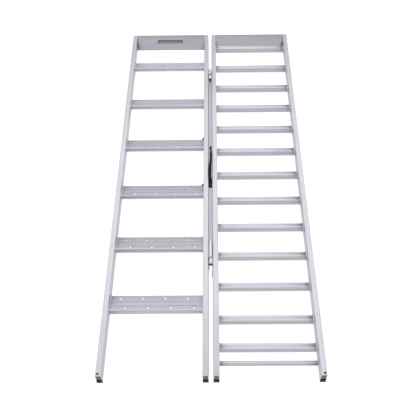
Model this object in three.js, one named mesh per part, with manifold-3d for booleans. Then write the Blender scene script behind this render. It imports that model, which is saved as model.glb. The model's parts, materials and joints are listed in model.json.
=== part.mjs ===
// Folding loading ramp in two panels, joined by two hinges along the middle.
// The left panel has wide tilted treads to walk on, the right panel has narrow rungs for a wheel.
// Millimetres. X runs across the ramp, Y runs up it from the feet to the top plates, Z is up.
// The origin is on the ground under the middle of the ramp, laid out flat.
//
// Places along the ramp are given as a distance from the low end of the rails, and yAt() turns
// them into Y. Heights are given above the ground.

import * as THREE from 'three';
import { mergeVertices } from 'three/addons/utils/BufferGeometryUtils.js';
import Module from 'manifold-3d';

const wasm = await Module();
wasm.setup();

// ---------------------------------------------------------------- driving dimensions

const touchGap = 0.3;            // space left between pieces that touch
const holeSlack = 0.3;           // a hole's radius is this much larger than its bolt's

const overallWidth = 965;
const panelGap = 20;             // between the two middle rails
const railLength = 2260;
const railWidth = 25.4;
const railHeight = 63.5;
const railWall = 2.6;
const railCorner = 3.5;
const railLift = 3;              // underside of the rails above the ground

const treadCount = 6;
const firstTread = 312;          // front top edge of the lowest tread
const treadPitch = 328.8;
const treadDepth = 110;
const treadTilt = 24;            // degrees, so that a tread is level when the ramp is in use
const treadSheet = 3;
const treadDrop = 8;             // front top edge below the top of the rails
const treadFrontLip = 21.5;
const treadBackLip = 14;
const treadGroovePlaces = [33, 67];
const treadGrooveWidth = 5;
const treadGrooveDepth = 1.4;
const treadHoleRadius = 7;
const treadRimRadius = 9.5;
const treadRimHeight = 1.6;
const treadHolePitch = 103;
const treadHolesPerRow = 4;
const treadHoleRows = [
  { depth: 16, shift: 16 },
  { depth: 84, shift: -12 },
];

const rungCount = 13;
const firstRungBack = 161;       // back edge of the lowest rung
const lowBay = 134.5;            // from the lowest rung to the second
const rungPitch = 169.5;
const regularBays = 10;          // bays counted from the low end before they begin to grow
const bayGrowth = 9;             // each bay above those is longer than the last by this much
const rungDepth = 29.5;
const rungHeight = 32;
const rungWall = 2.4;
const rungLift = 1.5;            // underside of a rung above the underside of the rails
const rungRidge = 1.4;           // height of the gripping ridge along a rung's front edge
const rungRidgeStart = 1;
const rungRidgeEnd = 4;
const rungRibStart = 14;         // a second ridge, half as high, along the middle
const rungRibEnd = 18;
const ridgeSlope = 1;            // a ridge's sides widen by this much down to the rung's top
const rungChamfer = 0.8;

const lowBarRadius = 10.5;
const lowBarWall = 2;
const lowBarPlace = 70;
const lowBarHeight = 28.5;

const plateStart = 2196;
const plateLip = 84;             // how far the plate reaches past the rails
const plateSheet = 4;
const plateTipSheet = 2;
const plateTaper = 30;
const plateEdge = 3;             // from the lip's side to the rail's outer face
const tabSheet = 4;
const tabInset = 9;              // from the plate's lower edge to the tab
const tabLength = 50;
const tabHeight = 48;
const tabRivetHeight = 36;

const footFace = 2.5;            // rubber in front of the rail's end
const footRise = 22;             // height of that face above the ground
const footRecess = 3;            // the rail's end is open this deep above the face
const footPlug = 34;             // rubber inside the rail
const footSole = 30;             // rubber under the rail
const footScrewPlace = 10;
const footScrewShift = 3;        // outward from the middle of the rail's top
const footScrewReach = 14;       // from the rail's top into the plug
const footScrewRadius = 2.5;
const footScrewHeadRadius = 5;
const footScrewHeadLength = 1.4; // low, so that two heads fit between the folded panels

const axisRise = 2;              // hinge line above the top of the rails
const knuckleRadius = 8;
const pinRadius = 4;
const pinHeadRadius = 7.4;
const pinHeadLength = 3;
const pinChamfer = 0.6;
const pinRecess = 6;             // the pin's upper end inside its knuckle
const leafSheet = 3;
const leafBottom = 18;
const leafBelowKnuckle = 1;      // a leaf's plain part stops this far below the knuckles
const rivetInset = 20;           // from a hinge's ends
const rivetHeight = 30;
// `lower` and `upper` are the lengths of a hinge's two knuckles, `space` is left between them, and a
// tail is the part of a leaf below its hinge's low end.
const hinges = [
  { name: 'low', start: 545, lower: 33, space: 4, upper: 99, leftTail: 0, rightTail: 40 },
  { name: 'top', start: 1837, lower: 34, space: 8, upper: 41, leftTail: 30, rightTail: 30 },
];

const stripStart = 684;
const stripEnd = 1850;
const stripSheet = 3;
const stripDrop = 7;             // top of the strip below the top of the rails
const stripLeg = 25;
const stripNeckSpace = 1;        // between the strip's narrow end and the leaves' tails
const stripBoltHeight = 46;
const stripBoltTreads = [2, 3];  // the bolts come out above these treads, counted from 0
const stripBoltPastTread = 74;

const strapWidth = 9;
const strapLowWidth = 19;        // below the grip, where it fills the gap
const strapSheet = 2.6;
const strapStart = 1014;
const strapEnd = 1308;
const strapRise = 9.5;           // height of the strap's raised middle above its ends
const strapFlat = 34;            // length of each flat end
const strapSlope = 26;
const gripStart = 1075;
const gripEnd = 1199;
const gripWidth = 14;
const gripHeight = 11;
const gripCorner = 4;
const gripShift = -1.5;          // the grip lies a little to the left in the gap

const boltRadius = 4;
const boltHeadRadius = 6.5;
const boltHeadLength = 3.2;
const boltTip = 2;               // bolt past its nut
const nutRadius = 7.5;
const nutLength = 6.5;
const screwRadius = 2.5;
const screwHeadRadius = 5;
const screwHeadLength = 2.6;
const screwTip = 1.5;
const screwNutRadius = 4.6;
const screwNutLength = 4;
const headSide = 0.35;           // share of a domed head's height that is straight
const headCrown = 0.65;          // share of its radius that is flat on top
const rivetRadius = 3.2;
const rivetHeadRadius = 6;
const rivetHeadLength = 1.6;
const rivetBulbRadius = 4.4;
const rivetBulbLength = 5;

const roundSides = 10;           // sides of a bolt or a hole
const knuckleSides = 20;
const overlap = 1;               // depth that shapes share before they are joined into one
const cutLength = 100;           // longer than anything that a hole goes through
const sheetCutLength = 10;       // goes through one sheet or wall and reaches no other

// ---------------------------------------------------------------- derived places

const rampEnd = railLength + plateLip;
const middle = (rampEnd - footFace) / 2;
const railTop = railLift + railHeight;
const panelWidth = (overallWidth - panelGap) / 2;
const insideWidth = panelWidth - 2 * railWidth;
const outerRailX = (overallWidth - railWidth) / 2;
const middleRailX = (panelGap + railWidth) / 2;
const panelX = (outerRailX + middleRailX) / 2;
const barLength = insideWidth - 2 * touchGap;
const axisHeight = railTop + axisRise;
const stripTop = railTop - stripDrop;

const yAt = (place) => place - middle;
const treadPlace = (index) => firstTread + index * treadPitch;

function rungBack(index) {
  let place = firstRungBack;
  for (let bay = 1; bay <= index; bay += 1) {
    place += bay === 1 ? lowBay : rungPitch + Math.max(0, bay - regularBays) * bayGrowth;
  }
  return place;
}

// ---------------------------------------------------------------- materials

function material(color, roughness, metalness) {
  return new THREE.MeshStandardMaterial({ color, roughness, metalness });
}

const extrudedAluminium = material(0xd6d3de, 0.42, 0.85);
const pressedAluminium = material(0xbcb9c6, 0.46, 0.85);
const plateAluminium = material(0xa9a6b2, 0.5, 0.85);
const hingeAluminium = material(0xcfccd4, 0.4, 0.85);
const zincSteel = material(0xb9bbbd, 0.35, 0.9);
const blackSteel = material(0x24242a, 0.5, 0.6);
const blackRubber = material(0x17171a, 0.85, 0);
const blackWebbing = material(0x1b1b1e, 0.9, 0);

// ---------------------------------------------------------------- solids

function solidOf(geometry) {
  const bare = geometry.clone();
  bare.deleteAttribute('normal');
  bare.deleteAttribute('uv');
  const merged = mergeVertices(bare);
  return new wasm.Manifold(new wasm.Mesh({
    numProp: 3,
    vertProperties: new Float32Array(merged.attributes.position.array),
    triVerts: new Uint32Array(merged.index.array),
  }));
}

function geometryOf(solid) {
  const mesh = solid.getMesh();
  const geometry = new THREE.BufferGeometry();
  geometry.setAttribute('position', new THREE.BufferAttribute(mesh.vertProperties, 3));
  geometry.setIndex(new THREE.BufferAttribute(mesh.triVerts, 1));
  return geometry;
}

function join(geometries) {
  return geometryOf(geometries.map(solidOf).reduce((whole, next) => whole.add(next)));
}

function cut(geometry, tools) {
  return geometryOf(tools.map(solidOf).reduce((rest, tool) => rest.subtract(tool), solidOf(geometry)));
}

function polygon(points) {
  return new THREE.Shape(points.map(([across, up]) => new THREE.Vector2(across, up)));
}

function roundedRectangle(width, height, corner, Kind = THREE.Shape) {
  const x = width / 2 - corner;
  const y = height / 2 - corner;
  const outline = new Kind();
  outline.moveTo(-x, -y - corner);
  outline.lineTo(x, -y - corner);
  outline.absarc(x, -y, corner, -Math.PI / 2, 0);
  outline.absarc(x, y, corner, 0, Math.PI / 2);
  outline.absarc(-x, y, corner, Math.PI / 2, Math.PI);
  outline.absarc(-x, -y, corner, Math.PI, 1.5 * Math.PI);
  return outline;
}

function extrude(shape, length, curveSegments = 3) {
  const geometry = new THREE.ExtrudeGeometry(shape, { depth: length, bevelEnabled: false, curveSegments });
  return geometry.translate(0, 0, -length / 2);
}

const alongX = new THREE.Matrix4().makeBasis(
  new THREE.Vector3(0, 1, 0),
  new THREE.Vector3(0, 0, 1),
  new THREE.Vector3(1, 0, 0),
);
const alongY = new THREE.Matrix4().makeRotationX(Math.PI / 2);

// The section is drawn in Y and Z and runs along X, its middle at X = 0.
const extrudeX = (shape, length, curveSegments) => extrude(shape, length, curveSegments).applyMatrix4(alongX);

// The section is drawn in X and Z and runs along Y, its middle at Y = 0.
const extrudeY = (shape, length, curveSegments) => extrude(shape, length, curveSegments).applyMatrix4(alongY);

function box(width, depth, height, x, y, z) {
  return new THREE.BoxGeometry(width, depth, height).translate(x, y, z);
}

function rodX(radius, length, sides) {
  return new THREE.CylinderGeometry(radius, radius, length, sides).rotateZ(Math.PI / 2);
}

function rodY(radius, length, sides) {
  return new THREE.CylinderGeometry(radius, radius, length, sides);
}

function rodZ(radius, length, sides) {
  return new THREE.CylinderGeometry(radius, radius, length, sides).rotateX(Math.PI / 2);
}

const holeX = (radius, y, z, length = cutLength) => (
  rodX(radius + holeSlack, length, roundSides).translate(0, y, z)
);

// ---------------------------------------------------------------- the object's group

const ramp = new THREE.Group();

function place(name, geometry, finish, x, y, z) {
  const mesh = new THREE.Mesh(geometry, finish);
  mesh.name = name;
  mesh.position.set(x, y, z);
  ramp.add(mesh);
}

// ---------------------------------------------------------------- fasteners

function lathe(profile, sides = roundSides) {
  return new THREE.LatheGeometry(profile.map(([radius, along]) => new THREE.Vector2(radius, along)), sides);
}

// Outline of a domed head that stands on `seat`, from its edge to its middle.
function domedHead(radius, length, seat) {
  return [
    [radius, seat],
    [radius, seat + length * headSide],
    [radius * headCrown, seat + length],
    [0, seat + length],
  ];
}

// A bolt along X with a domed head at the +X end and a nut at the -X end. `grip` is the thickness
// that it clamps, centred on X = 0.
function crossBolt(grip) {
  const head = grip / 2 + touchGap;
  const tail = -grip / 2 - touchGap;
  const tip = tail - nutLength - boltTip;
  const shank = [[0, tip], [boltRadius, tip], [boltRadius, head]];
  const bolt = lathe([...shank, ...domedHead(boltHeadRadius, boltHeadLength, head)]);
  const nut = new THREE.CylinderGeometry(nutRadius, nutRadius, nutLength, 6);
  nut.translate(0, tail - nutLength / 2, 0);
  return join([bolt, nut]).rotateZ(-Math.PI / 2);
}

// A screw down Z with a low head. It enters the wall that its head stands on at Z = 0.
function wallScrew() {
  const shank = [[0, -footScrewReach], [footScrewRadius, -footScrewReach], [footScrewRadius, touchGap]];
  const head = domedHead(footScrewHeadRadius, footScrewHeadLength, touchGap);
  return lathe([...shank, ...head]).rotateX(Math.PI / 2);
}

// A blind rivet along X with its head at the +X end and its bulb at the -X end.
function rivet(grip) {
  const head = grip / 2 + touchGap;
  const tail = -grip / 2 - touchGap;
  return lathe([
    [0, tail - rivetBulbLength],
    [rivetBulbRadius, tail - rivetBulbLength],
    [rivetBulbRadius, tail],
    [rivetRadius, tail],
    [rivetRadius, head],
    ...domedHead(rivetHeadRadius, rivetHeadLength, head),
  ]).rotateZ(-Math.PI / 2);
}

// A screw down Z with its head on top and a nut below.
function downScrew(grip) {
  const head = grip / 2 + touchGap;
  const tail = -grip / 2 - touchGap;
  const tip = tail - screwNutLength - screwTip;
  const shank = [[0, tip], [screwRadius, tip], [screwRadius, head]];
  const screw = lathe([...shank, ...domedHead(screwHeadRadius, screwHeadLength, head)]);
  const nut = new THREE.CylinderGeometry(screwNutRadius, screwNutRadius, screwNutLength, 6);
  nut.translate(0, tail - screwNutLength / 2, 0);
  return join([screw, nut]).rotateX(Math.PI / 2);
}

// ---------------------------------------------------------------- rails

const sectionMiddle = railLift + railHeight / 2;

// A hole across a rail: through both walls, or through one wall only, on the side `wall`.
function railHole(radius, along, up, wall = 0) {
  const length = wall === 0 ? cutLength : sheetCutLength;
  const hole = holeX(radius, along - railLength / 2, up - sectionMiddle, length);
  return hole.translate(wall * railWidth / 2, 0, 0);
}

// Where the screw of an outer foot goes through the rail's top, from the rail's low end and top.
function footScrewHole(outside) {
  const hole = rodZ(footScrewRadius + holeSlack, 2 * (footScrewReach + touchGap), roundSides);
  return hole.translate(outside * footScrewShift, footScrewPlace, 0);
}

function rail(holes) {
  const section = roundedRectangle(railWidth, railHeight, railCorner);
  section.holes.push(roundedRectangle(
    railWidth - 2 * railWall,
    railHeight - 2 * railWall,
    railCorner - railWall,
    THREE.Path,
  ));
  return cut(extrudeY(section, railLength), holes);
}

const tabRivetPlace = plateStart + tabInset + tabLength / 2;
const stripBoltPlaces = stripBoltTreads.map((tread) => treadPlace(tread) + stripBoltPastTread);
const hingeLength = (hinge) => hinge.lower + hinge.space + hinge.upper;
const rivetPlaces = (hinge) => [hinge.start + rivetInset, hinge.start + hingeLength(hinge) - rivetInset];

function addRails() {
  const tabHole = (wall) => railHole(rivetRadius, tabRivetPlace, tabRivetHeight, wall);
  const footHole = (side) => footScrewHole(side).translate(0, -railLength / 2, railHeight / 2);
  const rivetHoles = (wall) => hinges.flatMap((hinge) => (
    rivetPlaces(hinge).map((along) => railHole(rivetRadius, along, rivetHeight, wall))
  ));
  const stripHoles = stripBoltPlaces.map((along) => railHole(boltRadius, along, stripBoltHeight));
  const rails = [
    ['left_outer_rail', -outerRailX, [tabHole(1), footHole(-1)]],
    ['left_middle_rail', -middleRailX, [tabHole(-1), ...rivetHoles(1), ...stripHoles]],
    ['right_middle_rail', middleRailX, [tabHole(1), ...rivetHoles(-1)]],
    ['right_outer_rail', outerRailX, [tabHole(-1), footHole(1)]],
  ];
  for (const [name, x, holes] of rails) {
    place(name, rail(holes), extrudedAluminium, x, yAt(railLength / 2), sectionMiddle);
  }
}

// ---------------------------------------------------------------- treads

function treadSection() {
  const top = [];
  top.push([0, 0]);
  for (const groove of treadGroovePlaces) {
    top.push([groove - treadGrooveWidth / 2, 0]);
    top.push([groove - treadGrooveWidth / 4, -treadGrooveDepth]);
    top.push([groove + treadGrooveWidth / 4, -treadGrooveDepth]);
    top.push([groove + treadGrooveWidth / 2, 0]);
  }
  top.push([treadDepth, 0]);
  return polygon([
    [0, -treadFrontLip],
    ...top,
    [treadDepth, -treadBackLip],
    [treadDepth - treadSheet, -treadBackLip],
    [treadDepth - treadSheet, -treadSheet],
    [treadSheet, -treadSheet],
    [treadSheet, -treadFrontLip],
  ].reverse());
}

function treadHolePlaces() {
  const first = -(treadHolesPerRow - 1) / 2;
  return treadHoleRows.flatMap((row) => (
    Array.from({ length: treadHolesPerRow }, (_, index) => [
      (first + index) * treadHolePitch + row.shift,
      row.depth,
    ])
  ));
}

function tread() {
  const channel = extrudeX(treadSection(), barLength);
  const rimHeight = treadRimHeight + treadSheet / 2;
  const rims = treadHolePlaces().map(([x, y]) => (
    rodZ(treadRimRadius, rimHeight, roundSides).translate(x, y, treadRimHeight - rimHeight / 2)
  ));
  const bores = treadHolePlaces().map(([x, y]) => (
    rodZ(treadHoleRadius, sheetCutLength, roundSides).translate(x, y, 0)
  ));
  return cut(join([channel, ...rims]), bores).rotateX(THREE.MathUtils.degToRad(-treadTilt));
}

function addTreads() {
  const geometry = tread();
  for (let index = 0; index < treadCount; index += 1) {
    const name = `left_tread_${index + 1}`;
    place(name, geometry, pressedAluminium, -panelX, yAt(treadPlace(index)), railTop - treadDrop);
  }
}

// ---------------------------------------------------------------- rungs and low bar

function rung() {
  const deck = rungHeight - rungRidge;
  const rib = deck + rungRidge / 2;
  const section = polygon([
    [rungChamfer, 0],
    [rungDepth - rungChamfer, 0],
    [rungDepth, rungChamfer],
    [rungDepth, deck - rungChamfer],
    [rungDepth - rungChamfer, deck],
    [rungRibEnd, deck],
    [rungRibEnd - ridgeSlope, rib],
    [rungRibStart + ridgeSlope, rib],
    [rungRibStart, deck],
    [rungRidgeEnd + ridgeSlope, deck],
    [rungRidgeEnd, rungHeight],
    [rungRidgeStart, rungHeight],
    [0, rungHeight - rungRidgeStart],
    [0, rungChamfer],
  ]);
  const bore = new THREE.Path([
    new THREE.Vector2(rungWall, rungWall),
    new THREE.Vector2(rungWall, deck - rungWall),
    new THREE.Vector2(rungDepth - rungWall, deck - rungWall),
    new THREE.Vector2(rungDepth - rungWall, rungWall),
  ]);
  section.holes.push(bore);
  return extrudeX(section, barLength);
}

function addRungs() {
  const geometry = rung();
  for (let index = 0; index < rungCount; index += 1) {
    const front = rungBack(index) - rungDepth;
    place(`right_rung_${index + 1}`, geometry, extrudedAluminium, panelX, yAt(front), railLift + rungLift);
  }
}

function addLowBar() {
  const section = new THREE.Shape();
  section.absarc(0, 0, lowBarRadius, 0, 2 * Math.PI);
  const bore = new THREE.Path();
  bore.absarc(0, 0, lowBarRadius - lowBarWall, 0, 2 * Math.PI);
  section.holes.push(bore);
  const tube = extrudeX(section, barLength, knuckleSides);
  place('right_low_bar', tube, extrudedAluminium, panelX, yAt(lowBarPlace), lowBarHeight);
}

// ---------------------------------------------------------------- top plates

// The plate fits between the rails and widens past their ends. Its local origin is on its underside,
// at its lower edge and mid width.
function topPlate() {
  const railEnd = railLength - plateStart + touchGap;
  const lipEnd = rampEnd - plateStart;
  const lipWidth = panelWidth - 2 * plateEdge;
  const innerLength = railEnd + overlap;
  const inner = box(barLength, innerLength, plateSheet, 0, innerLength / 2, plateSheet / 2);
  const lip = extrudeX(polygon([
    [railEnd, 0],
    [lipEnd, 0],
    [lipEnd, plateTipSheet],
    [lipEnd - plateTaper, plateSheet],
    [railEnd, plateSheet],
  ]), lipWidth);
  const tabX = (barLength - tabSheet) / 2;
  const tabY = tabInset + tabLength / 2;
  const tabs = [-tabX, tabX].map((x) => box(tabSheet, tabLength, tabHeight, x, tabY, tabHeight / 2));
  const rivetHole = holeX(rivetRadius, tabY, tabRivetHeight, panelWidth);
  return cut(join([inner, lip, ...tabs]), [rivetHole]);
}

function addTopPlates() {
  place('left_top_plate', topPlate(), plateAluminium, -panelX, yAt(plateStart), 0);
  place('right_top_plate', topPlate(), plateAluminium, panelX, yAt(plateStart), 0);
}

// A rivet's head is on the tab, inside the panel, and its bulb is in the rail.
function addTabRivets() {
  const clamped = tabSheet + touchGap + railWall;
  const fromRail = railWidth / 2 - railWall + clamped / 2;
  const y = yAt(tabRivetPlace);
  const headRight = rivet(clamped);
  const headLeft = headRight.clone().rotateZ(Math.PI);
  const outer = outerRailX - fromRail;
  const inner = middleRailX + fromRail;
  place('left_tab_rivet_outer', headRight, zincSteel, -outer, y, tabRivetHeight);
  place('left_tab_rivet_middle', headLeft, zincSteel, -inner, y, tabRivetHeight);
  place('right_tab_rivet_middle', headRight, zincSteel, inner, y, tabRivetHeight);
  place('right_tab_rivet_outer', headLeft, zincSteel, outer, y, tabRivetHeight);
}

// ---------------------------------------------------------------- feet

// A rubber plug in the rail's end, with a low face in front of the rail and a sole under it.
// `outside` is the side of the screw that holds it, or 0 where it is only pushed in.
function foot(outside) {
  const face = extrudeY(roundedRectangle(railWidth, footRise, railCorner), footFace - touchGap);
  face.translate(0, -(footFace + touchGap) / 2, footRise / 2);
  const plugWidth = railWidth - 2 * railWall - 2 * touchGap;
  const plugHeight = railHeight - 2 * railWall - 2 * touchGap;
  const plugLength = footPlug - footRecess;
  const plugY = (footPlug + footRecess) / 2;
  const plug = box(plugWidth, plugLength, plugHeight, 0, plugY, sectionMiddle);
  const plugBottom = sectionMiddle - plugHeight / 2;
  const rootHeight = footRise - railCorner - plugBottom;
  const rootStart = -2 * overlap;
  const rootEnd = footRecess + overlap;
  const rootY = (rootStart + rootEnd) / 2;
  const root = box(plugWidth, rootEnd - rootStart, rootHeight, 0, rootY, plugBottom + rootHeight / 2);
  const soleWidth = railWidth - 2 * railCorner;
  const soleHeight = railLift - touchGap;
  const sole = box(soleWidth, footSole + overlap, soleHeight, 0, (footSole - overlap) / 2, soleHeight / 2);
  const whole = join([face, plug, root, sole]);
  if (outside === 0) {
    return whole;
  }
  return cut(whole, [footScrewHole(outside).translate(0, 0, railTop)]);
}

function addFeet() {
  const corners = [
    ['left_foot_outer', -outerRailX, -1],
    ['left_foot_middle', -middleRailX, 0],
    ['right_foot_middle', middleRailX, 0],
    ['right_foot_outer', outerRailX, 1],
  ];
  for (const [name, x, outside] of corners) {
    place(name, foot(outside), blackRubber, x, yAt(0), 0);
    if (outside !== 0) {
      const screwX = x + outside * footScrewShift;
      place(`${name}_screw`, wallScrew(), blackSteel, screwX, yAt(footScrewPlace), railTop);
    }
  }
}

// ---------------------------------------------------------------- hinges

// A leaf lies against a middle rail's inner face and rises to its own knuckle only. The local
// origin is on the hinge line at the hinge's low end. `side` is -1 for the left leaf, 1 for the right.
function leaf(hinge, side, tail, knuckleStart, knuckleLength) {
  const length = hingeLength(hinge);
  const x = side * (panelGap / 2 - touchGap - leafSheet / 2);
  const top = -knuckleRadius - leafBelowKnuckle;
  const bottom = leafBottom - axisHeight;
  const knuckleY = knuckleStart + knuckleLength / 2;
  const plate = box(leafSheet, length + tail, top - bottom, x, (length - tail) / 2, (top + bottom) / 2);
  const neck = box(leafSheet, knuckleLength, overlap - top, x, knuckleY, (top - overlap) / 2);
  const barrel = rodY(knuckleRadius, knuckleLength, knuckleSides).translate(0, knuckleY, 0);
  const bore = rodY(pinRadius + holeSlack, 2 * length, roundSides).translate(0, length / 2, 0);
  const rivetHoles = rivetPlaces(hinge).map((along) => (
    holeX(rivetRadius, along - hinge.start, rivetHeight - axisHeight)
  ));
  return cut(join([plate, neck, barrel]), [bore, ...rivetHoles]);
}

// The pin's head closes the lower knuckle, and its upper end stays inside the upper knuckle.
function pin(hinge) {
  const tip = hingeLength(hinge) - pinRecess;
  return lathe([
    [0, -touchGap - pinHeadLength],
    [pinHeadRadius - pinChamfer, -touchGap - pinHeadLength],
    [pinHeadRadius, -touchGap - pinHeadLength + pinChamfer],
    [pinHeadRadius, -touchGap],
    [pinRadius, -touchGap],
    [pinRadius, tip - pinChamfer],
    [pinRadius - pinChamfer, tip],
    [0, tip],
  ]);
}

function addHinges() {
  const clamped = leafSheet + touchGap + railWall;
  const rivetX = panelGap / 2 + railWall - clamped / 2;
  const left = rivet(clamped);
  const right = left.clone().rotateZ(Math.PI);
  for (const hinge of hinges) {
    const y = yAt(hinge.start);
    const upperStart = hinge.lower + hinge.space;
    const leftLeaf = leaf(hinge, -1, hinge.leftTail, upperStart, hinge.upper);
    const rightLeaf = leaf(hinge, 1, hinge.rightTail, 0, hinge.lower);
    place(`${hinge.name}_hinge_left_leaf`, leftLeaf, hingeAluminium, 0, y, axisHeight);
    place(`${hinge.name}_hinge_right_leaf`, rightLeaf, hingeAluminium, 0, y, axisHeight);
    place(`${hinge.name}_hinge_pin`, pin(hinge), blackSteel, 0, y, axisHeight);
    rivetPlaces(hinge).forEach((along, index) => {
      const end = `${hinge.name}_hinge_rivet_${index + 1}`;
      place(`left_${end}`, left, hingeAluminium, -rivetX, yAt(along), rivetHeight);
      place(`right_${end}`, right, hingeAluminium, rivetX, yAt(along), rivetHeight);
    });
  }
}

// ---------------------------------------------------------------- centre strip

// An angle that fills the gap between the hinges. Its leg is bolted to the left middle rail, and
// its upper end narrows to pass between the leaves' tails.
function centreStrip(screwPlaces) {
  const length = stripEnd - stripStart;
  const half = panelGap / 2 - touchGap;
  const section = polygon([
    [-half, -stripLeg],
    [-half + stripSheet, -stripLeg],
    [-half + stripSheet, -stripSheet],
    [half, -stripSheet],
    [half, 0],
    [-half, 0],
  ]);
  const angle = extrudeY(section, length).translate(0, length / 2, 0);
  const boltHoles = stripBoltPlaces.map((along) => (
    holeX(boltRadius, along - stripStart, stripBoltHeight - stripTop)
  ));
  const screwHoles = screwPlaces.map((along) => (
    rodZ(screwRadius + holeSlack, sheetCutLength, roundSides).translate(0, along - stripStart, 0)
  ));
  const topHinge = hinges[1];
  const neckStart = topHinge.start - topHinge.leftTail - stripNeckSpace - stripStart;
  const notchWidth = leafSheet + stripNeckSpace + overlap;
  const notchX = half + overlap - notchWidth / 2;
  const notchLength = length - neckStart + overlap;
  const notches = [-notchX, notchX].map((x) => (
    box(notchWidth, notchLength, cutLength, x, neckStart + notchLength / 2, 0)
  ));
  return cut(angle, [...boltHoles, ...screwHoles, ...notches]);
}

function addCentreStrip(screwPlaces) {
  place('centre_strip', centreStrip(screwPlaces), pressedAluminium, 0, yAt(stripStart), stripTop);
  const grip = railWidth + touchGap + stripSheet;
  const x = -(middleRailX - (grip - railWidth) / 2);
  stripBoltPlaces.forEach((along, index) => {
    place(`centre_strip_bolt_${index + 1}`, crossBolt(grip), blackSteel, x, yAt(along), stripBoltHeight);
  });
}

// ---------------------------------------------------------------- carrying handle

// Height of the strap's underside along the strap, above its flat ends.
function strapOutline() {
  const length = strapEnd - strapStart;
  return [
    [0, 0],
    [strapFlat, 0],
    [strapFlat + strapSlope, strapRise],
    [length - strapFlat - strapSlope, strapRise],
    [length - strapFlat, 0],
    [length, 0],
  ];
}

function strap(screwPlaces) {
  const under = strapOutline();
  const over = under.map(([along, up]) => [along, up + strapSheet]).reverse();
  const wide = extrudeX(polygon([...under, ...over]), strapLowWidth);
  const lowLength = gripStart - touchGap - strapStart;
  const trimX = (strapLowWidth + strapWidth) / 2;
  const trims = [-trimX, trimX].map((x) => (
    box(strapLowWidth, strapEnd - strapStart, cutLength, x, lowLength + (strapEnd - strapStart) / 2, 0)
  ));
  const band = cut(wide, trims);
  const holes = screwPlaces.map((along) => (
    rodZ(screwRadius + holeSlack, sheetCutLength, roundSides).translate(0, along - strapStart, 0)
  ));
  return cut(band, holes);
}

function grip() {
  const section = roundedRectangle(gripWidth, gripHeight, gripCorner);
  const slotX = strapWidth / 2 + touchGap;
  const slotY = strapSheet / 2 + touchGap;
  const slot = new THREE.Path([
    new THREE.Vector2(-slotX - gripShift, -slotY),
    new THREE.Vector2(-slotX - gripShift, slotY),
    new THREE.Vector2(slotX - gripShift, slotY),
    new THREE.Vector2(slotX - gripShift, -slotY),
  ]);
  section.holes.push(slot);
  return extrudeY(section, gripEnd - gripStart, 4);
}

function addHandle(screwPlaces) {
  const strapBottom = stripTop + touchGap;
  place('handle_strap', strap(screwPlaces), blackWebbing, 0, yAt(strapStart), strapBottom);
  const gripMiddle = strapBottom + strapRise + strapSheet / 2;
  place('handle_grip', grip(), blackRubber, gripShift, yAt((gripStart + gripEnd) / 2), gripMiddle);
  const clamped = stripSheet + touchGap + strapSheet;
  const screwMiddle = stripTop - stripSheet + clamped / 2;
  screwPlaces.forEach((along, index) => {
    place(`handle_screw_${index + 1}`, downScrew(clamped), blackSteel, 0, yAt(along), screwMiddle);
  });
}

// ---------------------------------------------------------------- assembly

const handleScrewPlaces = [strapStart + strapFlat / 2, strapEnd - strapFlat / 2];

addRails();
addTreads();
addRungs();
addLowBar();
addTopPlates();
addTabRivets();
addFeet();
addHinges();
addCentreStrip(handleScrewPlaces);
addHandle(handleScrewPlaces);

export default ramp;
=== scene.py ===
import json
import math

import bmesh
import bpy
from mathutils import Matrix, Vector, noise

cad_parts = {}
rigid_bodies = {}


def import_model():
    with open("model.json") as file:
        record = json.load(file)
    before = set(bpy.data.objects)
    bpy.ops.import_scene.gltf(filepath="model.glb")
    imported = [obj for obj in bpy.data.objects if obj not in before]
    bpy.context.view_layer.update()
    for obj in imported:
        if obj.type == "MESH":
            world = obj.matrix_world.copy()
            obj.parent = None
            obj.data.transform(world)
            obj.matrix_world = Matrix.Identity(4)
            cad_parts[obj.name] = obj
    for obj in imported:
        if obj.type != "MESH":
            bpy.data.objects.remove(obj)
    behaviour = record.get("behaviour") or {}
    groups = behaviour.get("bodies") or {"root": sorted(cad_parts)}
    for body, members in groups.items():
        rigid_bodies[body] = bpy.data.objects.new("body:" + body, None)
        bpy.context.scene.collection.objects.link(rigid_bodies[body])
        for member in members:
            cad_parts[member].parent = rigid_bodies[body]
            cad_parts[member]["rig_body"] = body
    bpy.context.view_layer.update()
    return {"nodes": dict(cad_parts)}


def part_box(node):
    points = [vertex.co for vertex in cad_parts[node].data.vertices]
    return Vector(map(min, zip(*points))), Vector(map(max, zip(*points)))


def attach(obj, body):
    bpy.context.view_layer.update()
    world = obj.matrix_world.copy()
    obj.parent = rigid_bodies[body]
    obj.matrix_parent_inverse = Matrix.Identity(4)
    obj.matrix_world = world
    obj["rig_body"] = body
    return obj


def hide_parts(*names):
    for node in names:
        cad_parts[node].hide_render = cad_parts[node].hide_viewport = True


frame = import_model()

# Folding loading ramp. Lengths are in metres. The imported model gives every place: X runs across
# the ramp, Y runs up it from the feet, Z is up.

MM = 0.001

RAIL_LOW, RAIL_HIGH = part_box("left_outer_rail")
RAIL_TOP = RAIL_HIGH.z
LOW_END = RAIL_LOW.y


def named(word):
    """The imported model's pieces whose names hold a word."""
    return sorted(name for name in frame["nodes"] if word in name)


RAILS = named("rail")
TREADS = named("tread")
RUNGS = named("rung")
PLATES = named("top_plate")
LEAVES = named("leaf")
PINS = named("pin")
BOLTS = named("bolt")
RIVETS = named("rivet")
HANDLE_SCREWS = named("handle_screw")
FOOT_SCREWS = named("outer_screw")
FEET = [name for name in named("foot") if name not in FOOT_SCREWS]


# ------------------------------------------------------------------ camera

CAMERA_AHEAD = 1.064             # in front of the rails' low end
CAMERA_ABOVE = 2.509             # over the rails' top
CAMERA_SIDE = 0.0156             # right of the ramp's middle
CAMERA_DOWN = 52.26              # degrees below the horizon
CAMERA_YAW = 0.826
CAMERA_ROLL = -1.048
CAMERA_LENS = 55.1
SENSOR_WIDTH = 36.0
FAR_CLIP = 100.0


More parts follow.
